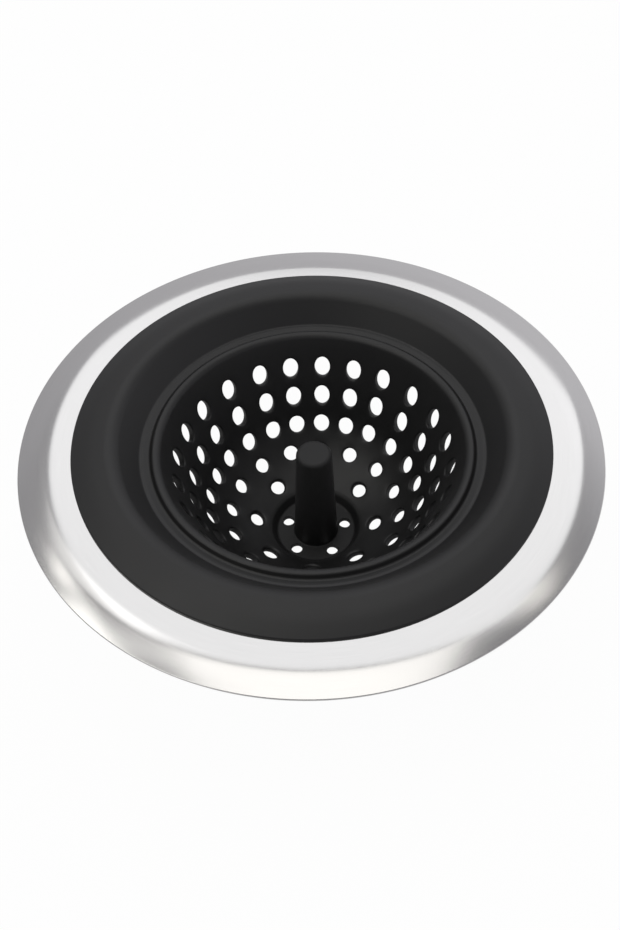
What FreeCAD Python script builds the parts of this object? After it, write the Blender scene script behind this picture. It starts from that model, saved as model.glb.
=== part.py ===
import FreeCAD, Part
import os
import re

import Sketcher

# Sink strainer: a pressed steel rim that carries a soft perforated basket with a lift post.
# The origin is the centre of the plane that the rim rests on, and +Z points up, out of the drain.
# Lengths are in millimetres and angles in degrees.

SIZES = {
    # Steel rim, pressed from sheet: a flat ring that bends down to its outer edge
    "rim_radius": 57.0,
    "rim_inner_radius": 43.0,
    "rim_bend_radius": 51.8,
    "rim_rise": 1.55,
    "rim_bevel": 12.0,
    "sheet": 0.6,
    # Collar of the basket, which grips the rim's inner edge from above and below
    "collar_radius": 46.8,
    "collar_edge": 0.5,
    "gasket_radius": 46.0,
    "gasket_inner_radius": 41.5,
    "grip_clearance": 0.1,
    "relief_height": 1.7,
    "dome_radius": 43.4,
    "dome_height": 3.35,
    "crest_radius": 40.0,
    "crest_height": 3.95,
    "shoulder_radius": 38.25,
    "shoulder_height": 3.35,
    "collar_wall": 1.3,
    # Ledge inside the collar, with the thin groove that the bowl folds on and the bead at its mouth
    "ledge_radius": 34.2,
    "ledge_depth": 1.35,
    "groove_radius": 32.2,
    "groove_width": 1.4,
    "groove_depth": 1.8,
    "groove_floor": 0.95,
    "bead_radius": 31.75,
    "bead_depth": 0.8,
    # Bowl, by the middle of its wall from the fold level down: a straight wall, a wide knuckle and the floor
    "fold_depth": 4.0,
    "bowl_radius": 29.78,
    "bowl_wall": 1.5,
    "wall_lean": 24.0,
    "wall_length": 14.0,
    "knuckle_radius": 20.5,
    "floor_slope": 26.0,
    # The two bands that stand for the knuckle, by how far each turns from the lean of the wall
    "low_band_turn": 7.0,
    "floor_band_turn": 27.8,
    # Holes of the bowl: three rows along the wall, one on the lower band and one on the floor
    "first_row": 4.2,
    "row_pitch": 6.73,
    "hole_pitch": 14.4,
    "wall_hole_width": 3.4,
    "wall_hole_length": 4.6,
    "low_hole_width": 3.45,
    "low_hole_length": 3.95,
    "floor_hole_pitch": 21.6,
    "floor_hole_width": 3.3,
    "floor_hole_length": 3.25,
    "inner_drop": 1.73,
    "inner_hole": 2.95,
    # Foot in the middle of the bowl, with its own holes and the lift post
    "foot_radius": 10.9,
    "foot_taper": 1.0,
    "foot_floor": 1.1,
    "well_radius": 9.4,
    "well_taper": 1.0,
    "well_depth": 0.65,
    "foot_hole": 2.4,
    "foot_hole_circle": 6.42,
    "foot_turn": 90.0,
    "post_height": 25.5,
    "post_base_radius": 4.65,
    "post_top_radius": 3.6,
    "post_flare": 0.4,
    "post_top_edge": 0.55,
}

# Holes in each ring
WALL_HOLES = 24
FLOOR_HOLES = 16
INNER_HOLES = 8
FOOT_HOLES = 5

# Formulas that several pieces share, in the bowl's own level: zero at the fold, down to the foot's seat
KNUCKLE_RADIUS = "(bowl_radius - wall_length * sin(wall_lean) - knuckle_radius * cos(wall_lean))"
KNUCKLE_LEVEL = "(knuckle_radius * sin(wall_lean) - wall_length * cos(wall_lean))"
LOW_LEAN = "(wall_lean + low_band_turn)"
FLOOR_BAND_LEAN = "(wall_lean + floor_band_turn)"
FLOOR_LEAN = "(90 - floor_slope)"
FLOOR_EDGE_RADIUS = f"({KNUCKLE_RADIUS} + knuckle_radius * cos({FLOOR_LEAN}))"
FLOOR_EDGE_LEVEL = f"({KNUCKLE_LEVEL} - knuckle_radius * sin({FLOOR_LEAN}))"
HALF_WALL_ACROSS = "(bowl_wall / 2 / cos(wall_lean))"
HALF_FLOOR_UP = "(bowl_wall / 2 / cos(floor_slope))"
FLOOR_AXIS_LEVEL = f"({FLOOR_EDGE_LEVEL} - {FLOOR_EDGE_RADIUS} * tan(floor_slope))"
SEAT_LEVEL = f"({FLOOR_AXIS_LEVEL} + foot_radius * tan(floor_slope) - {HALF_FLOOR_UP})"

doc = FreeCAD.newDocument("sink_strainer")
sheet = doc.addObject("Spreadsheet::Sheet", "Sizes")
for line, (alias, size) in enumerate(SIZES.items(), start=1):
    sheet.set(f"A{line}", alias)
    sheet.set(f"B{line}", str(size))
    sheet.setAlias(f"B{line}", alias)
doc.recompute()


def formula(text):
    """The formula with every size read from the sheet."""
    return re.sub(r"[a-z_]+", lambda word: f"Sizes.{word[0]}" if word[0] in SIZES else word[0], text)


def value(text):
    """What a formula comes to now."""
    return float(sheet.evalExpression(formula(text)))


def new_body(label, level="0", turn="0"):
    """A body whose own zero level lies at the given height, turned about the axis."""
    body = doc.addObject("PartDesign::Body", label)
    body.Label = label
    axis = FreeCAD.Vector(0, 0, 1)
    body.Placement = FreeCAD.Placement(FreeCAD.Vector(), FreeCAD.Rotation(axis, value(turn)))
    body.setExpression("Placement.Base.z", formula(level))
    body.setExpression("Placement.Rotation.Angle", formula(turn))
    return body


def origin_of(body, role):
    """A plane or axis of the body's own origin."""
    return next(feature for feature in body.Origin.OriginFeatures if feature.Role == role)


def new_sketch(body, name, plane):
    sketch = body.newObject("Sketcher::SketchObject", name)
    sketch.AttachmentSupport = [(origin_of(body, plane), "")]
    sketch.MapMode = "FlatFace"
    return sketch


def draw(sketch, corners):
    """A closed outline whose corners (across, up) are bound to their formulas."""
    points = [FreeCAD.Vector(value(across), value(up)) for across, up in corners]
    ends = points[1:] + points[:1]
    lines = [sketch.addGeometry(Part.LineSegment(start, end)) for start, end in zip(points, ends)]
    for line, after in zip(lines, lines[1:] + lines[:1]):
        sketch.addConstraint(Sketcher.Constraint("Coincident", line, 2, after, 1))
    for line, point, corner in zip(lines, points, corners):
        for text, size, axis, kind in zip(corner, point, (-2, -1), ("DistanceX", "DistanceY")):
            if text == "0":
                sketch.addConstraint(Sketcher.Constraint("PointOnObject", line, 1, axis))
            else:
                index = sketch.addConstraint(Sketcher.Constraint(kind, line, 1, size))
                sketch.setExpression(f"Constraints[{index}]", formula(text))


def turned_piece(body, corners):
    """The solid that a profile beside the axis sweeps out."""
    sketch = new_sketch(body, f"{body.Label}_profile", "XZ_Plane")
    draw(sketch, corners)
    turned = body.newObject("PartDesign::Revolution", f"{body.Label}_ring")
    turned.Profile = sketch
    turned.ReferenceAxis = (origin_of(body, "Z_Axis"), [""])
    doc.recompute()


def hole_corners(width, length):
    """An eight-sided hole, which stands for a round or oval one with few faces."""
    flat = "tan(22.5)"
    half_length, half_width = f"{length} / 2", f"{width} / 2"
    quarter = [(half_length, f"{half_width} * {flat}"), (f"{half_length} * {flat}", half_width)]
    half = quarter + [(f"-{across}", up) for across, up in reversed(quarter)]
    return half + [(across, f"-{up}") for across, up in reversed(half)]


def hole_ring(body, name, spot, tilt, shape, depth, count, gaps=()):
    """A hole square to the wall at a spot (across, up), repeated round the axis, evenly or with gaps."""
    sketch = new_sketch(body, f"{name}_sketch", "XY_Plane")
    across = FreeCAD.Vector(0, 1, 0)
    sketch.AttachmentOffset = FreeCAD.Placement(FreeCAD.Vector(), FreeCAD.Rotation(across, value(tilt)))
    sketch.setExpression("AttachmentOffset.Base.x", formula(spot[0]))
    sketch.setExpression("AttachmentOffset.Base.z", formula(spot[1]))
    sketch.setExpression("AttachmentOffset.Rotation.Angle", formula(tilt))
    draw(sketch, hole_corners(*shape))
    before = body.Tip.Shape.Volume
    pocket = body.newObject("PartDesign::Pocket", f"{name}_cut")
    pocket.Profile = sketch
    pocket.SideType = "Symmetric"
    pocket.setExpression("Length", formula(depth))
    doc.recompute()
    one_cut = before - pocket.Shape.Volume
    ring = body.newObject("PartDesign::PolarPattern", name)
    ring.Originals = [pocket]
    ring.Axis = (origin_of(body, "Z_Axis"), [""])
    ring.Occurrences = count
    if gaps:
        ring.Mode = "Spacing"
        ring.setExpression("SpacingPattern", formula(f"list({'; '.join(gaps)})"))
    body.Tip = ring
    doc.recompute()
    all_cuts = before - ring.Shape.Volume
    if one_cut <= 0 or abs(all_cuts - count * one_cut) > 0.01 * all_cuts:
        raise RuntimeError(f"{name}: {count} holes should take {count * one_cut:.2f}, took {all_cuts:.2f}")


def steel_rim():
    body = new_body("steel_rim")
    under_bend = "(rim_bend_radius - sheet * tan(rim_bevel / 2))"
    corners = [
        (f"{under_bend} + (rim_rise - sheet) / tan(rim_bevel)", "0"),
        ("rim_radius", "0"),
        ("rim_radius", "rim_rise - (rim_radius - rim_bend_radius) * tan(rim_bevel)"),
        ("rim_bend_radius", "rim_rise"),
        ("rim_inner_radius", "rim_rise"),
        ("rim_inner_radius", "rim_rise - sheet"),
        (under_bend, "rim_rise - sheet"),
    ]
    turned_piece(body, corners)
    return body


def basket_flange():
    body = new_body("basket_flange")
    run = "((shoulder_radius - ledge_radius) / (shoulder_height + ledge_depth))"
    outside = f"ledge_radius + collar_wall * sqrt(1 + {run} ^ 2)"
    underside = "(-groove_depth - groove_floor)"
    throat = f"bowl_radius - {HALF_WALL_ACROSS}"
    outer_wall = f"bowl_radius + {HALF_WALL_ACROSS}"
    grip = "rim_inner_radius - grip_clearance"
    corners = [
        ("collar_radius", "rim_rise"),
        ("collar_radius", "rim_rise + collar_edge"),
        ("dome_radius", "dome_height"),
        ("crest_radius", "crest_height"),
        ("shoulder_radius", "shoulder_height"),
        ("ledge_radius", "-ledge_depth"),
        ("groove_radius + groove_width", "-ledge_depth"),
        ("groove_radius", "-groove_depth"),
        ("bead_radius", "-bead_depth"),
        (f"{throat} + (fold_depth - bead_depth) * tan(wall_lean)", "-bead_depth"),
        (throat, "-fold_depth"),
        (outer_wall, "-fold_depth"),
        (f"{outer_wall} + (fold_depth + {underside}) * tan(wall_lean)", underside),
        (f"{outside} + ({underside} + ledge_depth) * {run}", underside),
        (f"{outside} + (relief_height + ledge_depth) * {run}", "relief_height"),
        ("gasket_inner_radius", "relief_height"),
        ("gasket_inner_radius", "0"),
        ("gasket_radius", "0"),
        ("gasket_radius", "rim_rise - sheet"),
        (grip, "rim_rise - sheet"),
        (grip, "rim_rise"),
    ]
    turned_piece(body, corners)
    return body


def bend_corner(lean, next_lean, offset):
    """The corner where two bands of the bowl meet, off the middle of the wall, round the knuckle's centre."""
    reach = f"((knuckle_radius + {offset}) / cos(({next_lean} - {lean}) / 2))"
    middle = f"(({lean} + {next_lean}) / 2)"
    return f"{KNUCKLE_RADIUS} + {reach} * cos{middle}", f"{KNUCKLE_LEVEL} - {reach} * sin{middle}"


def band_spot(lean, drop):
    """A spot on a band of the bowl, some way down from where the band touches the knuckle's circle."""
    across = f"{KNUCKLE_RADIUS} + knuckle_radius * cos({lean}) - {drop} * sin({lean})"
    up = f"{KNUCKLE_LEVEL} - knuckle_radius * sin({lean}) - {drop} * cos({lean})"
    return across, up


def basket_bowl():
    body = new_body("basket_bowl", "-fold_depth")
    leans = ["wall_lean", LOW_LEAN, FLOOR_BAND_LEAN, FLOOR_LEAN]
    bends = list(zip(leans, leans[1:]))
    inside = [bend_corner(lean, next_lean, "-bowl_wall / 2") for lean, next_lean in bends]
    outside = [bend_corner(lean, next_lean, "bowl_wall / 2") for lean, next_lean in reversed(bends)]
    well_edge = f"{FLOOR_AXIS_LEVEL} + well_radius * tan(floor_slope) + {HALF_FLOOR_UP}"
    corners = [
        (f"bowl_radius - {HALF_WALL_ACROSS}", "0"),
        *inside,
        ("well_radius", well_edge),
        ("well_radius", SEAT_LEVEL),
        ("foot_radius", SEAT_LEVEL),
        *outside,
        (f"bowl_radius + {HALF_WALL_ACROSS}", "0"),
    ]
    turned_piece(body, corners)

    depth = "3 * bowl_wall"
    wide_gap = "45 - 2 * hole_pitch"
    gaps = ["hole_pitch", "hole_pitch", wide_gap, wide_gap, "hole_pitch", "hole_pitch"]
    wall_hole = ("wall_hole_width", "wall_hole_length")
    for row in range(2):
        along = f"(first_row + {row} * row_pitch)"
        spot = (f"bowl_radius - {along} * sin(wall_lean)", f"-{along} * cos(wall_lean)")
        hole_ring(body, f"wall_row_{row + 1}", spot, "wall_lean - 90", wall_hole, depth, WALL_HOLES, gaps)

    low_hole = ("low_hole_width", "low_hole_length")
    low_drop = "(first_row + 2 * row_pitch - wall_length - 2 * knuckle_radius * tan(low_band_turn / 2))"
    low_spot = band_spot(LOW_LEAN, low_drop)
    hole_ring(body, "wall_row_3", low_spot, f"{LOW_LEAN} - 90", low_hole, depth, WALL_HOLES, gaps)

    floor_gap = "45 - floor_hole_pitch"
    floor_gaps = ["floor_hole_pitch", floor_gap, floor_gap, "floor_hole_pitch"]
    floor_hole = ("floor_hole_width", "floor_hole_length")
    floor_spot = band_spot(FLOOR_BAND_LEAN, "0")
    floor_tilt = f"{FLOOR_BAND_LEAN} - 90"
    hole_ring(body, "floor_row", floor_spot, floor_tilt, floor_hole, depth, FLOOR_HOLES, floor_gaps)

    inner_spot = band_spot(FLOOR_LEAN, "inner_drop")
    hole_ring(body, "inner_row", inner_spot, "-floor_slope", ("inner_hole", "inner_hole"), depth, INNER_HOLES)
    return body


def centre_post():
    body = new_body("centre_post", f"{SEAT_LEVEL} - fold_depth", "foot_turn")
    underside = "-well_depth - foot_floor"
    top = "post_height - well_depth"
    corners = [
        ("0", underside),
        ("foot_radius - foot_taper", underside),
        ("foot_radius", "0"),
        ("well_radius", "0"),
        ("well_radius - well_taper", "-well_depth"),
        ("post_base_radius + post_flare", "-well_depth"),
        ("post_base_radius", "post_flare - well_depth"),
        ("post_top_radius", f"{top} - post_top_edge"),
        ("post_top_radius - post_top_edge", top),
        ("0", top),
    ]
    turned_piece(body, corners)
    spot = ("foot_hole_circle", "-well_depth - foot_floor / 2")
    hole_ring(body, "foot_row", spot, "0", ("foot_hole", "foot_hole"), "3 * foot_floor", FOOT_HOLES)
    return body


pieces = [steel_rim(), basket_flange(), basket_bowl(), centre_post()]
doc.recompute()

for thing in doc.Objects:
    if {"Invalid", "Error"} & set(thing.State):
        raise RuntimeError(f"{thing.Label} failed: {thing.State}")
for piece in pieces:
    if piece.Shape.isNull() or not piece.Shape.isValid():
        raise RuntimeError(f"{piece.Label} has no valid shape")

os.makedirs("parts", exist_ok=True)
for piece in pieces:
    piece.Shape.exportStep(f"parts/{piece.Label}.step")
    print(f"{piece.Label}: {len(piece.Shape.Solids)} solid of {piece.Shape.Volume:.1f} mm3")
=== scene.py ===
import math

import bmesh
import bpy
import numpy as np
from mathutils import Matrix, Vector
from mathutils.geometry import delaunay_2d_cdt


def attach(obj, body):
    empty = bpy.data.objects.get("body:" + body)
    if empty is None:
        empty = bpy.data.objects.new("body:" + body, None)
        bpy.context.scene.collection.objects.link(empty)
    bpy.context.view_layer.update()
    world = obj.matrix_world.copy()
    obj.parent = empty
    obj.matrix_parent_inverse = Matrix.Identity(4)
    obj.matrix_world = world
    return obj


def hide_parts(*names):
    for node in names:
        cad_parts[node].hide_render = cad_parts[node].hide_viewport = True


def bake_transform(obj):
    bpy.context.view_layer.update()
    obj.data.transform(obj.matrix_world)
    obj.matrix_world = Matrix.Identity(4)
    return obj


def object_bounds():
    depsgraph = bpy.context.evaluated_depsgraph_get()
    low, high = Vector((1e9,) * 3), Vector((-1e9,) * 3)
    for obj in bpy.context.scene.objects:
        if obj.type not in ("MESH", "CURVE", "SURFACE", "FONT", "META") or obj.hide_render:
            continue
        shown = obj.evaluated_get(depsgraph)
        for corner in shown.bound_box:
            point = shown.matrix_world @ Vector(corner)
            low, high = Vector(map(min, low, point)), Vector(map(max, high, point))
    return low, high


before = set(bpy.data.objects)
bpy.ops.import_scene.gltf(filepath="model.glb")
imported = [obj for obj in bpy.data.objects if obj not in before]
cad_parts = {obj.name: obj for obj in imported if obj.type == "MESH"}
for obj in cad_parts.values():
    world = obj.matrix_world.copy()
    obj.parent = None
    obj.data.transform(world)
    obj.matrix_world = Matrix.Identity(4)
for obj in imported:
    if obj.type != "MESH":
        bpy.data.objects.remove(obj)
cad_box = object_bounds()

# Sink strainer: a brushed steel rim with a soft black basket and a lift post.
# Sizes below are in millimetres and degrees in the frame of the CAD model, and meshes are made in metres.
MM = 0.001
SEGMENTS = 192
MERGE_GAP = 0.002
SLIVER = 0.001

# Camera, fitted to the rim's edges and the rows of holes in the 620 by 930 photograph
IMAGE_WIDTH, IMAGE_HEIGHT = 620, 930
FOCAL_PX = 1075.6
AXIS_POINT_PX = (354.81, 442.39)
ORIGIN_PX = (313.39, 436.99)
CAMERA_DISTANCE = 211.9
CAMERA_ELEVATION = 48.91
CAMERA_ROLL = 0.82
CAMERA_TURN = 1.65
CAMERA_AIM_LEVEL = 0.3

# Steel rim
RIM_RADIUS = 57.0
RIM_INNER_RADIUS = 43.0
RIM_BEND_RADIUS = 51.8
RIM_RISE = 1.55
RIM_BEVEL = 12.0
RIM_BEND_ROUND = 20.0
RIM_EDGE_ROUND = 0.25
RIM_TOP_EDGE_ROUND = 0.2
SHEET = 0.6

# Collar of the basket, with points given as distance from the axis and height
COLLAR_RADIUS = 46.8
COLLAR_EDGE = 0.5
COLLAR_EDGE_ROUND = 0.3
GASKET_RADIUS = 46.0
GASKET_INNER_RADIUS = 41.5
GASKET_ROUND = 0.2
GRIP_CLEARANCE = 0.1
RELIEF_HEIGHT = 1.7
RELIEF_ROUND = 0.4
COLLAR_WALL = 1.3
DOME = (43.4, 3.35)
DOME_ROUND = 14.0
CREST = (40.0, 3.95)
CREST_ROUND = 3.2
SHOULDER = (37.9, 3.35)
LEDGE = (34.2, -1.35)
LEDGE_ROUND = 0.6
GROOVE = (32.35, -1.75)
GROOVE_ROUND = 0.55
GROOVE_WIDTH = 1.25
GROOVE_MOUTH_ROUND = 1.2
GROOVE_FLOOR = 1.0
BEAD = (31.7, -0.8)
BEAD_ROUND = 0.6
THROAT_ROUND = 1.5
UNDERSIDE_ROUND = 0.6
FOLD_ROUND = 0.4

# Bowl, by the middle of its wall from the fold down: a straight wall, a wide knuckle and the floor
FOLD_DEPTH = 4.0
BOWL_RADIUS = 29.78
BOWL_WALL = 1.5
WALL_LEAN = 24.0
WALL_LENGTH = 14.0
KNUCKLE_RADIUS = 20.5
FLOOR_SLOPE = 26.0

# Holes of the bowl, with sizes as width round the axis and length down the wall
QUARTERS = 4
QUARTER = 360.0 / QUARTERS
FLOOR_ROW_TURN = 27.8
HOLE_ROUND = 0.3
INNER_HOLE_ROUND = 0.6
FIRST_ROW = 4.2
ROW_PITCH = 6.73
HOLE_PITCH = 14.4
WALL_HOLE = (3.4, 4.6)
LOW_HOLE = (3.45, 3.95)
FLOOR_HOLE_PITCH = 21.6
FLOOR_HOLE = (3.3, 3.25)
INNER_DROP = 1.73
INNER_HOLE = (3.2, 2.95)

# Mesh of a wall with holes: points round a hole, steps of its rounded edges, and a length for each step
HOLE_POINTS = 28
ROUND_STEPS = 4
MESH_STEP = 1.1
HOLE_MARGIN = 0.45 * MESH_STEP
FEWEST_STEPS = 24
PLAN_TOLERANCE = 1e-7

# Foot and lift post
FOOT_RADIUS = 10.9
FOOT_TAPER = 1.0
FOOT_FLOOR = 1.1
FOOT_EDGE_ROUND = 0.35
FOOT_TOP_ROUND = 0.4
FOOT_JOINT = 10.4
WELL_RADIUS = 9.4
WELL_TAPER = 1.0
WELL_DEPTH = 0.65
WELL_TOP_ROUND = 1.2
WELL_ROUND = 0.7
WELL_MARGIN = 0.45
FOOT_HOLE = (2.4, 2.4)
FOOT_HOLE_ROUND = 0.15
FOOT_HOLE_CIRCLE = 6.42
FOOT_HOLES = 5
FOOT_TURN = 90.0
POST_HEIGHT = 25.5
POST_BASE_RADIUS = 4.65
POST_TOP_RADIUS = 3.6
POST_FLARE = 0.4
POST_FLARE_ROUND = 0.36
POST_TOP_ROUND = 0.9

# Studio: how white the camera and mirrored rays find the floor, and where the surroundings are lighter
FLOOR_SIZE = 6.0
FLOOR_GAP = 0.05
SEEN_WHITE = 0.97
MIRRORED_WHITE = 0.2
BRIGHT_SIDE = (0.7, 0.5, 0)

# Soft boxes, in metres: name, degrees to the left of straight behind, degrees up, size, brightness, tint
LAMP_DISTANCE = 1.2
LAMPS = (
    ("strip", -1, 57, (1.11, 0.845), 1.04, (0.985, 0.99, 1)),
    ("left_wing", 51.5, 56.5, (0.21, 0.36), 0.95, (1, 0.99, 0.97)),
    ("overhead", 0, 90.7, (0.77, 0.52), 1.4, (1, 0.985, 0.95)),
    ("left_high", 112, 54, (1.07, 0.47), 2.0, (1, 0.99, 0.95)),
    ("left_mid", 74.5, 67.5, (0.14, 0.26), 0.65, (1, 0.985, 0.955)),
    ("left_streak", 63.4, 50.8, (0.07, 0.08), 3.1, (1, 0.98, 0.94)),
    ("right_streak", -58.1, 57.4, (0.12, 0.12), 1.3, (1, 0.97, 0.91)),
)

LEAN = math.radians(WALL_LEAN)
SLOPE = math.radians(FLOOR_SLOPE)
BEND = math.pi / 2 - LEAN - SLOPE
WALL_DOWN = np.array((-math.sin(LEAN), -math.cos(LEAN)))
FLOOR_IN = np.array((-math.cos(SLOPE), -math.sin(SLOPE)))
WALL_NORMAL = np.array((-math.cos(LEAN), math.sin(LEAN)))
FLOOR_NORMAL = np.array((-math.sin(SLOPE), math.cos(SLOPE)))
FOLD = np.array((BOWL_RADIUS, -FOLD_DEPTH))
CORNER = FOLD + WALL_DOWN * (WALL_LENGTH + KNUCKLE_RADIUS * math.tan(BEND / 2))
SEAT_LEVEL = CORNER[1] - (CORNER[0] - FOOT_RADIUS) * math.tan(SLOPE) - BOWL_WALL / 2 / math.cos(SLOPE)


def rounded(corners, steps=10, closed=True):
    """Points of an outline whose corners (across, up, radius) are rounded with arcs."""
    places = [np.array(corner[:2], float) for corner in corners]
    count = len(places)
    points = []
    for index, corner in enumerate(corners):
        here = places[index]
        radius = corner[2] if len(corner) > 2 else 0
        if radius == 0 or (not closed and index in (0, count - 1)):
            points.append(here)
            continue
        before = places[index - 1] - here
        after = places[(index + 1) % count] - here
        before, after = before / np.linalg.norm(before), after / np.linalg.norm(after)
        half_angle = math.acos(np.clip(before @ after, -1, 1)) / 2
        middle = (before + after) / np.linalg.norm(before + after)
        centre = here + middle * radius / math.sin(half_angle)
        start = here + before * radius / math.tan(half_angle) - centre
        end = here + after * radius / math.tan(half_angle) - centre
        turn = math.atan2(start[0] * end[1] - start[1] * end[0], start @ end)
        for step in range(steps + 1):
            angle = turn * step / steps
            spin = np.array(((math.cos(angle), -math.sin(angle)), (math.sin(angle), math.cos(angle))))
            points.append(centre + spin @ start)
    return np.array(points)


def meeting(line, other):
    """The point where two lines meet, each given by two points."""
    start, end = np.array(line, float)
    other_start, other_end = np.array(other, float)
    directions = np.stack((end - start, other_start - other_end), axis=1)
    share, _ = np.linalg.solve(directions, other_start - start)
    return start + share * (end - start)


def add_grid(mesh, rows, closed_rows):
    """Quads between rows of points that each run once round; the last row may join the first."""
    made = [[mesh.verts.new(Vector(point) * MM) for point in row] for row in rows]
    pairs = list(zip(made, made[1:] + made[:1])) if closed_rows else list(zip(made, made[1:]))
    for row, other in pairs:
        for index in range(len(row)):
            after = (index + 1) % len(row)
            mesh.faces.new((row[index], row[after], other[after], other[index]))
    return made


def around(radius, level, count=SEGMENTS):
    """A row of points round the axis."""
    angles = np.linspace(0, 2 * math.pi, count, endpoint=False)
    return [(radius * math.cos(angle), radius * math.sin(angle), level) for angle in angles]


def finish_mesh(mesh, name, sharp=40):
    """The bmesh as a smooth-shaded object with one closed skin."""
    bmesh.ops.remove_doubles(mesh, verts=mesh.verts, dist=MERGE_GAP * MM)
    bmesh.ops.dissolve_degenerate(mesh, edges=mesh.edges, dist=SLIVER * MM)
    bmesh.ops.recalc_face_normals(mesh, faces=mesh.faces)
    data = bpy.data.meshes.new(name)
    mesh.to_mesh(data)
    mesh.free()
    data.shade_smooth()
    data.set_sharp_from_angle(angle=math.radians(sharp))
    made = bpy.data.objects.new(name, data)
    bpy.context.scene.collection.objects.link(made)
    return made


def lathe(name, profile):
    """A closed profile swept round the axis."""
    mesh = bmesh.new()
    add_grid(mesh, [around(*point) for point in profile], closed_rows=True)
    return finish_mesh(mesh, name)


class Skin:
    """The middle of a wall as a curve beside the axis, read by the length along it from its inner end."""

    def __init__(self, points):
        self.points = np.array(points)
        steps = np.linalg.norm(np.diff(self.points, axis=0), axis=1)
        self.along = self.points[0][0] + np.concatenate(((0,), np.cumsum(steps)))
        slopes = np.diff(self.points, axis=0) / steps[:, None]
        angles = np.arctan2(slopes[:, 1], slopes[:, 0])
        self.angle_at = (self.along[1:] + self.along[:-1]) / 2
        self.angles = angles

    def point(self, along, turn, height):
        """The point at a length along the curve, an angle round the axis and a height off the middle."""
        across = np.interp(along, self.along, self.points[:, 0])
        up = np.interp(along, self.along, self.points[:, 1])
        angle = np.interp(along, self.angle_at, self.angles)
        across, up = across - height * np.sin(angle), up + height * np.cos(angle)
        return np.stack((across * np.cos(turn), across * np.sin(turn), up), axis=-1)

    def radius(self, along):
        """The distance from the axis at a length along the curve."""
        return np.interp(along, self.along, self.points[:, 0])


def hole_ring(skin, hole, grow):
    """Lengths and angles of the points round an oval hole, grown outwards by some distance."""
    along, turn, (width, length), _ = hole
    spin = np.linspace(0, 2 * math.pi, HOLE_POINTS, endpoint=False)
    lengths = along + (length / 2 + grow) * np.cos(spin)
    turns = turn + (width / 2 + grow) * np.sin(spin) / skin.radius(along)
    return lengths, turns


def perforated(mesh, skin, holes, wall):
    """A wall of even thickness with rounded oval holes, open at both ends, laid out flat to be meshed."""
    low, high = skin.along[0], skin.along[-1]
    rings = [hole_ring(skin, hole, hole[3]) for hole in holes]
    plan_points = []
    edges = []

    def add_loop(lengths, turns):
        first = len(plan_points)
        plan_points.extend(zip(lengths, turns))
        loop = list(range(first, len(plan_points)))
        edges.extend(zip(loop, loop[1:] + loop[:1]))
        return loop

    full_turn = np.linspace(0, 2 * math.pi, SEGMENTS, endpoint=False)
    add_loop(np.full(SEGMENTS, low), full_turn)
    add_loop(np.full(SEGMENTS, high), full_turn)
    loops = [add_loop(*ring) for ring in rings]

    spots = np.array([hole[:2] for hole in holes])
    reach = np.array([max(shape) / 2 + edge + HOLE_MARGIN for _, _, shape, edge in holes])
    rows = max(2, round((high - low) / MESH_STEP))
    for row in range(1, rows):
        length = low + (high - low) * row / rows
        radius = skin.radius(length)
        count = min(SEGMENTS, max(FEWEST_STEPS, round(2 * math.pi * radius / MESH_STEP)))
        for step in range(count):
            turn = 2 * math.pi * (step + 0.5 * (row % 2)) / count
            sideways = (turn - spots[:, 1] + math.pi) % (2 * math.pi) - math.pi
            gap = np.hypot(length - spots[:, 0], sideways * radius)
            if np.all(gap > reach):
                plan_points.append((length, turn))

    flat = [Vector((length * math.cos(turn), length * math.sin(turn))) for length, turn in plan_points]
    corners, _, faces, origins, _, _ = delaunay_2d_cdt(flat, edges, [], 0, PLAN_TOLERANCE)
    source = [origin[0] for origin in origins]
    inside = {index: number for number, loop in enumerate(loops) for index in loop}
    inner_loop = set(range(SEGMENTS))
    kept = []
    for face in faces:
        own = [source[corner] for corner in face]
        same_hole = {inside.get(index) for index in own}
        if all(index in inner_loop for index in own):
            continue
        if len(same_hole) == 1 and None not in same_hole:
            continue
        kept.append(own)

    lengths, turns = np.array(plan_points).T
    for height in (wall / 2, -wall / 2):
        verts = [mesh.verts.new(Vector(point) * MM) for point in skin.point(lengths, turns, height)]
        for own in kept:
            mesh.faces.new([verts[index] for index in own])

    bends = np.linspace(0, math.pi / 2, ROUND_STEPS + 1)
    for hole in holes:
        grows = hole[3] * (1 - np.sin(bends))
        heights = wall / 2 - hole[3] * (1 - np.cos(bends))
        rows = []
        for grow, height in [*zip(grows, heights), *zip(grows[::-1], -heights[::-1])]:
            rows.append(skin.point(*hole_ring(skin, hole, grow), height))
        add_grid(mesh, rows, closed_rows=False)


def make_rim():
    """The pressed sheet: a flat ring, a wide bend and a bevel that ends on the seat."""
    bevel = math.radians(RIM_BEVEL)
    under_bend = RIM_BEND_RADIUS - SHEET * math.tan(bevel / 2)
    edge_top = RIM_RISE - (RIM_RADIUS - RIM_BEND_RADIUS) * math.tan(bevel)
    profile = rounded([
        (under_bend + (RIM_RISE - SHEET) / math.tan(bevel), 0),
        (RIM_RADIUS, 0, RIM_EDGE_ROUND),
        (RIM_RADIUS, edge_top, RIM_TOP_EDGE_ROUND),
        (RIM_BEND_RADIUS, RIM_RISE, RIM_BEND_ROUND),
        (RIM_INNER_RADIUS, RIM_RISE),
        (RIM_INNER_RADIUS, RIM_RISE - SHEET),
        (under_bend, RIM_RISE - SHEET, RIM_BEND_ROUND - SHEET),
    ])
    return lathe("rim_ring", profile)


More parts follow.
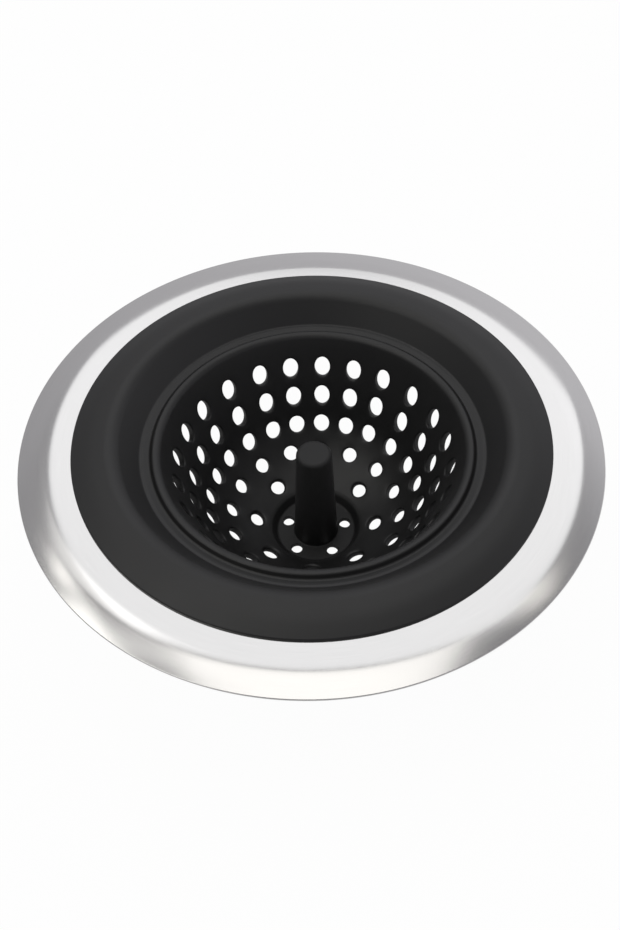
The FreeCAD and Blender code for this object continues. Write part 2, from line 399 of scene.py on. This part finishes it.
def make_collar():
    """The top of the moulding: lip, crest, shoulder, ledge, groove and bead, with the gasket ring below."""
    crest = meeting((DOME, CREST), (SHOULDER, LEDGE))
    run = (SHOULDER[0] - LEDGE[0]) / (SHOULDER[1] - LEDGE[1])
    outside = LEDGE[0] + COLLAR_WALL * math.sqrt(1 + run * run)
    underside = GROOVE[1] - GROOVE_FLOOR
    throat = FOLD + WALL_NORMAL * BOWL_WALL / 2
    outer_wall = FOLD - WALL_NORMAL * BOWL_WALL / 2
    grip = RIM_INNER_RADIUS - GRIP_CLEARANCE
    profile = rounded([
        (COLLAR_RADIUS, RIM_RISE),
        (COLLAR_RADIUS, RIM_RISE + COLLAR_EDGE, COLLAR_EDGE_ROUND),
        (*DOME, DOME_ROUND),
        (*crest, CREST_ROUND),
        (*LEDGE, LEDGE_ROUND),
        (GROOVE[0] + GROOVE_WIDTH, LEDGE[1], GROOVE_MOUTH_ROUND),
        (*GROOVE, GROOVE_ROUND),
        (*BEAD, BEAD_ROUND),
        (throat[0] + (BEAD[1] - throat[1]) * math.tan(LEAN), BEAD[1], THROAT_ROUND),
        tuple(throat),
        tuple(outer_wall),
        (outer_wall[0] + (underside - outer_wall[1]) * math.tan(LEAN), underside, FOLD_ROUND),
        (outside + (underside - LEDGE[1]) * run, underside, UNDERSIDE_ROUND),
        (outside + (RELIEF_HEIGHT - LEDGE[1]) * run, RELIEF_HEIGHT, UNDERSIDE_ROUND),
        (GASKET_INNER_RADIUS, RELIEF_HEIGHT, RELIEF_ROUND),
        (GASKET_INNER_RADIUS, 0, GASKET_ROUND),
        (GASKET_RADIUS, 0, GASKET_ROUND),
        (GASKET_RADIUS, RIM_RISE - SHEET),
        (grip, RIM_RISE - SHEET),
        (grip, RIM_RISE),
    ])
    return lathe("basket_collar", profile)


def wall_holes(skin):
    """Every hole of the bowl as (length along the skin, angle, size, rounding of its edges)."""
    quarter = [-2 * HOLE_PITCH, -HOLE_PITCH, 0, HOLE_PITCH, 2 * HOLE_PITCH, QUARTER / 2]
    rows = [
        (FIRST_ROW, quarter, WALL_HOLE, HOLE_ROUND),
        (FIRST_ROW + ROW_PITCH, quarter, WALL_HOLE, HOLE_ROUND),
        (FIRST_ROW + 2 * ROW_PITCH, quarter, LOW_HOLE, HOLE_ROUND),
        (
            WALL_LENGTH + KNUCKLE_RADIUS * math.radians(FLOOR_ROW_TURN),
            [-FLOOR_HOLE_PITCH, 0, FLOOR_HOLE_PITCH, QUARTER / 2],
            FLOOR_HOLE,
            HOLE_ROUND,
        ),
        (
            WALL_LENGTH + KNUCKLE_RADIUS * BEND + INNER_DROP,
            [0, QUARTER / 2],
            INNER_HOLE,
            INNER_HOLE_ROUND,
        ),
    ]
    return [
        (skin.along[-1] - down, math.radians(turn + QUARTER * side), shape, edge)
        for down, turns, shape, edge in rows
        for side in range(QUARTERS)
        for turn in turns
    ]


def foot_joint():
    """Where the floor of the bowl meets the foot, in the middle of its wall."""
    return CORNER + FLOOR_IN * (CORNER[0] - FOOT_JOINT) / math.cos(SLOPE)


def make_bowl():
    """The perforated wall and floor as one skin, closed at the fold and at the foot."""
    corners = [tuple(foot_joint()), (*CORNER, KNUCKLE_RADIUS), tuple(FOLD)]
    skin = Skin(rounded(corners, steps=40, closed=False))
    mesh = bmesh.new()
    perforated(mesh, skin, wall_holes(skin), BOWL_WALL)
    for end in (skin.along[0], skin.along[-1]):
        lengths = np.full(SEGMENTS, end)
        turns = np.linspace(0, 2 * math.pi, SEGMENTS, endpoint=False)
        rows = [skin.point(lengths, turns, height) for height in (BOWL_WALL / 2, -BOWL_WALL / 2)]
        add_grid(mesh, rows, closed_rows=False)
    return finish_mesh(mesh, "basket_bowl_skin", sharp=60)


def make_post():
    """The foot with its shallow well and ring of holes, and the lift post in its middle."""
    joint = foot_joint()
    inner_joint = joint + FLOOR_NORMAL * BOWL_WALL / 2
    outer_joint = joint - FLOOR_NORMAL * BOWL_WALL / 2
    well_top = inner_joint[1] - (inner_joint[0] - WELL_RADIUS) * math.tan(SLOPE)
    foot_top = outer_joint[1] - (outer_joint[0] - FOOT_RADIUS) * math.tan(SLOPE)
    well_floor = SEAT_LEVEL - WELL_DEPTH
    underside = well_floor - FOOT_FLOOR
    middle = well_floor - FOOT_FLOOR / 2
    top = well_floor + POST_HEIGHT
    band_inner = POST_BASE_RADIUS + POST_FLARE
    band_outer = WELL_RADIUS - WELL_TAPER - WELL_MARGIN
    mesh = bmesh.new()
    upper = rounded([
        (band_inner, well_floor),
        (POST_BASE_RADIUS, well_floor, POST_FLARE_ROUND),
        (POST_TOP_RADIUS, top, POST_TOP_ROUND),
        (0, top),
    ], closed=False)
    outer = rounded([
        (band_outer, underside),
        (FOOT_RADIUS - FOOT_TAPER, underside, FOOT_EDGE_ROUND),
        (FOOT_RADIUS, foot_top, FOOT_TOP_ROUND),
        tuple(outer_joint),
        tuple(inner_joint),
        (WELL_RADIUS, well_top, WELL_TOP_ROUND),
        (WELL_RADIUS - WELL_TAPER, well_floor, WELL_ROUND),
        (band_outer, well_floor),
    ], closed=False)
    under = [(0, underside), (band_inner, underside)]
    for strip in (upper, outer, under):
        add_grid(mesh, [around(*point) for point in strip], closed_rows=False)
    skin = Skin([(band_inner, middle), (band_outer, middle)])
    turns = [math.radians(FOOT_TURN + 360 * number / FOOT_HOLES) for number in range(FOOT_HOLES)]
    holes = [(FOOT_HOLE_CIRCLE, turn, FOOT_HOLE, FOOT_HOLE_ROUND) for turn in turns]
    perforated(mesh, skin, holes, FOOT_FLOOR)
    return finish_mesh(mesh, "lift_post", sharp=60)


def new_material(name):
    """An empty node material with its nodes and links."""
    made = bpy.data.materials.new(name)
    made.use_nodes = True
    return made, made.node_tree.nodes, made.node_tree.links


def make_steel():
    """Steel brushed in circles: fine lines round the axis vary its tone and its gloss."""
    made, nodes, links = new_material("brushed_steel")
    shader = nodes["Principled BSDF"]
    shader.inputs["Metallic"].default_value = 1.0
    shader.inputs["Anisotropic"].default_value = 0.5
    tangent = nodes.new("ShaderNodeTangent")
    tangent.direction_type = "RADIAL"
    tangent.axis = "Z"
    links.new(tangent.outputs["Tangent"], shader.inputs["Tangent"])
    place = nodes.new("ShaderNodeTexCoord")
    split = nodes.new("ShaderNodeSeparateXYZ")
    links.new(place.outputs["Object"], split.inputs["Vector"])
    flat = nodes.new("ShaderNodeCombineXYZ")
    links.new(split.outputs["X"], flat.inputs["X"])
    links.new(split.outputs["Y"], flat.inputs["Y"])
    length = nodes.new("ShaderNodeVectorMath")
    length.operation = "LENGTH"
    links.new(flat.outputs["Vector"], length.inputs[0])
    angle = nodes.new("ShaderNodeMath")
    angle.operation = "ARCTAN2"
    links.new(split.outputs["Y"], angle.inputs[0])
    links.new(split.outputs["X"], angle.inputs[1])
    polar = nodes.new("ShaderNodeCombineXYZ")
    links.new(length.outputs["Value"], polar.inputs["X"])
    links.new(angle.outputs["Value"], polar.inputs["Y"])
    stretch = nodes.new("ShaderNodeMapping")
    stretch.inputs["Scale"].default_value = (9000, 6, 1)
    links.new(polar.outputs["Vector"], stretch.inputs["Vector"])
    lines = nodes.new("ShaderNodeTexNoise")
    lines.inputs["Scale"].default_value = 1.0
    lines.inputs["Detail"].default_value = 4.0
    links.new(stretch.outputs["Vector"], lines.inputs["Vector"])
    tone = nodes.new("ShaderNodeValToRGB")
    tone.color_ramp.elements[0].color = (0.58, 0.575, 0.57, 1)
    tone.color_ramp.elements[1].color = (0.66, 0.655, 0.645, 1)
    links.new(lines.outputs["Fac"], tone.inputs["Fac"])
    links.new(tone.outputs["Color"], shader.inputs["Base Color"])
    gloss = nodes.new("ShaderNodeMapRange")
    gloss.inputs["To Min"].default_value = 0.13
    gloss.inputs["To Max"].default_value = 0.20
    links.new(lines.outputs["Fac"], gloss.inputs["Value"])
    links.new(gloss.outputs["Result"], shader.inputs["Roughness"])
    return made


def make_silicone(name, specular, smoothest, roughest):
    """Matt black silicone with a slightly uneven moulded surface."""
    made, nodes, links = new_material(name)
    shader = nodes["Principled BSDF"]
    shader.inputs["Specular IOR Level"].default_value = specular
    place = nodes.new("ShaderNodeTexCoord")
    mottle = nodes.new("ShaderNodeTexNoise")
    mottle.inputs["Scale"].default_value = 90.0
    mottle.inputs["Detail"].default_value = 3.0
    links.new(place.outputs["Object"], mottle.inputs["Vector"])
    tone = nodes.new("ShaderNodeValToRGB")
    tone.color_ramp.elements[0].color = (0.0032, 0.0032, 0.0033, 1)
    tone.color_ramp.elements[1].color = (0.0055, 0.0055, 0.0056, 1)
    links.new(mottle.outputs["Fac"], tone.inputs["Fac"])
    links.new(tone.outputs["Color"], shader.inputs["Base Color"])
    gloss = nodes.new("ShaderNodeMapRange")
    gloss.inputs["To Min"].default_value = smoothest
    gloss.inputs["To Max"].default_value = roughest
    links.new(mottle.outputs["Fac"], gloss.inputs["Value"])
    links.new(gloss.outputs["Result"], shader.inputs["Roughness"])
    return made


def make_floor(level):
    """A white floor that the camera sees almost evenly lit, with a faint shadow of the strainer."""
    bpy.ops.mesh.primitive_plane_add(size=FLOOR_SIZE, location=(0, 0, level * MM))
    floor = bpy.context.object
    floor.name = "floor"
    made, nodes, links = new_material("white_floor")
    shader = nodes["Principled BSDF"]
    shader.inputs["Base Color"].default_value = (0.85, 0.85, 0.85, 1)
    shader.inputs["Roughness"].default_value = 0.8
    glow = nodes.new("ShaderNodeEmission")
    light_path = nodes.new("ShaderNodeLightPath")
    mirrored = nodes.new("ShaderNodeMath")
    mirrored.operation = "MULTIPLY"
    mirrored.inputs[1].default_value = MIRRORED_WHITE
    links.new(light_path.outputs["Is Glossy Ray"], mirrored.inputs[0])
    seen = nodes.new("ShaderNodeMath")
    seen.operation = "MULTIPLY"
    seen.inputs[1].default_value = SEEN_WHITE
    links.new(light_path.outputs["Is Camera Ray"], seen.inputs[0])
    share = nodes.new("ShaderNodeMath")
    share.operation = "MAXIMUM"
    links.new(seen.outputs["Value"], share.inputs[0])
    links.new(mirrored.outputs["Value"], share.inputs[1])
    mix = nodes.new("ShaderNodeMixShader")
    links.new(share.outputs["Value"], mix.inputs["Fac"])
    links.new(shader.outputs["BSDF"], mix.inputs[1])
    links.new(glow.outputs["Emission"], mix.inputs[2])
    links.new(mix.outputs["Shader"], nodes["Material Output"].inputs["Surface"])
    floor.data.materials.append(made)


def make_world():
    """Soft grey studio surroundings, lighter at the back and right near the horizon and dark above."""
    world = bpy.data.worlds.new("studio")
    bpy.context.scene.world = world
    world.use_nodes = True
    nodes, links = world.node_tree.nodes, world.node_tree.links
    place = nodes.new("ShaderNodeTexCoord")
    across = nodes.new("ShaderNodeVectorMath")
    across.operation = "DOT_PRODUCT"
    across.inputs[1].default_value = BRIGHT_SIDE
    links.new(place.outputs["Generated"], across.inputs[0])
    side = nodes.new("ShaderNodeMapRange")
    side.inputs["From Min"].default_value = -1.0
    side.inputs["From Max"].default_value = 1.0
    side.inputs["To Min"].default_value = 0.2
    side.inputs["To Max"].default_value = 0.84
    links.new(across.outputs["Value"], side.inputs["Value"])
    split = nodes.new("ShaderNodeSeparateXYZ")
    links.new(place.outputs["Generated"], split.inputs["Vector"])
    height = nodes.new("ShaderNodeMapRange")
    height.inputs["From Min"].default_value = 0.55
    height.inputs["From Max"].default_value = 0.8
    links.new(split.outputs["Z"], height.inputs["Value"])
    blend = nodes.new("ShaderNodeMix")
    links.new(height.outputs["Result"], blend.inputs["Factor"])
    links.new(side.outputs["Result"], blend.inputs["A"])
    blend.inputs["B"].default_value = 0.28
    links.new(blend.outputs["Result"], nodes["Background"].inputs["Strength"])
    nodes["Background"].inputs["Color"].default_value = (0.97, 0.96, 1.0, 1)


def make_lamp(name, azimuth, elevation, size, brightness, tint):
    """A soft box that faces the strainer, at an angle to the left of straight behind it and a height."""
    turn, rise = math.radians(azimuth), math.radians(elevation)
    aim = Vector((-math.sin(turn) * math.cos(rise), math.cos(turn) * math.cos(rise), math.sin(rise)))
    data = bpy.data.lights.new(name, "AREA")
    data.shape = "RECTANGLE"
    data.size, data.size_y = size
    data.energy = brightness * math.pi * size[0] * size[1]
    data.color = tint
    lamp = bpy.data.objects.new(name, data)
    bpy.context.scene.collection.objects.link(lamp)
    lamp.location = aim * LAMP_DISTANCE
    lamp.rotation_euler = aim.to_track_quat("Z", "Y").to_euler()
    lamp.visible_camera = False


def make_camera():
    """The fitted camera, whose axis meets the picture a little beside its middle."""
    elevation, roll = math.radians(CAMERA_ELEVATION), math.radians(CAMERA_ROLL)
    right = Vector((1, 0, 0))
    forward = Vector((0, math.cos(elevation), -math.sin(elevation)))
    down = forward.cross(right)
    tilted_right = math.cos(roll) * right - math.sin(roll) * down
    tilted_down = math.sin(roll) * right + math.cos(roll) * down
    offsets = [(origin - axis) / FOCAL_PX for origin, axis in zip(ORIGIN_PX, AXIS_POINT_PX)]
    place = -CAMERA_DISTANCE * (forward + offsets[0] * tilted_right + offsets[1] * tilted_down)
    pose = Matrix((tilted_right, -tilted_down, -forward)).transposed().to_4x4()
    pose.translation = place
    turn = Matrix.Translation((0, 0, CAMERA_AIM_LEVEL)) @ Matrix.Rotation(math.radians(CAMERA_TURN), 4, "Z")
    pose = turn @ pose
    pose.translation = pose.translation * MM
    data = bpy.data.cameras.new("camera")
    camera = bpy.data.objects.new("camera", data)
    bpy.context.scene.collection.objects.link(camera)
    camera.matrix_world = pose
    data.sensor_width = 36
    data.lens = data.sensor_width * FOCAL_PX / IMAGE_HEIGHT
    data.shift_x = (IMAGE_WIDTH / 2 - AXIS_POINT_PX[0]) / IMAGE_HEIGHT
    data.shift_y = (AXIS_POINT_PX[1] - IMAGE_HEIGHT / 2) / IMAGE_HEIGHT
    data.clip_start = 0.005
    bpy.context.scene.camera = camera


rim_ring = make_rim()
collar = make_collar()
bowl = make_bowl()
post = make_post()

steel = make_steel()
silicone = make_silicone("black_silicone", 0.49, 0.45, 0.55)
dull_silicone = make_silicone("dull_silicone", 0.5, 0.6, 0.68)
rim_ring.data.materials.append(steel)
collar.data.materials.append(silicone)
bowl.data.materials.append(silicone)
post.data.materials.append(dull_silicone)

for piece, body, node, finish in (
    (rim_ring, "rim", "steel_rim", "steel"),
    (collar, "rim", "basket_flange", "silicone"),
    (post, "centre", "centre_post", "silicone"),
):
    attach(piece, body)
    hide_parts(node)
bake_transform(bowl)
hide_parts("basket_bowl")

make_floor(cad_box[0].z / MM - FLOOR_GAP)
make_world()
for lamp_values in LAMPS:
    make_lamp(*lamp_values)
make_camera()

view_settings = bpy.context.scene.view_settings
view_settings.view_transform = "Standard"
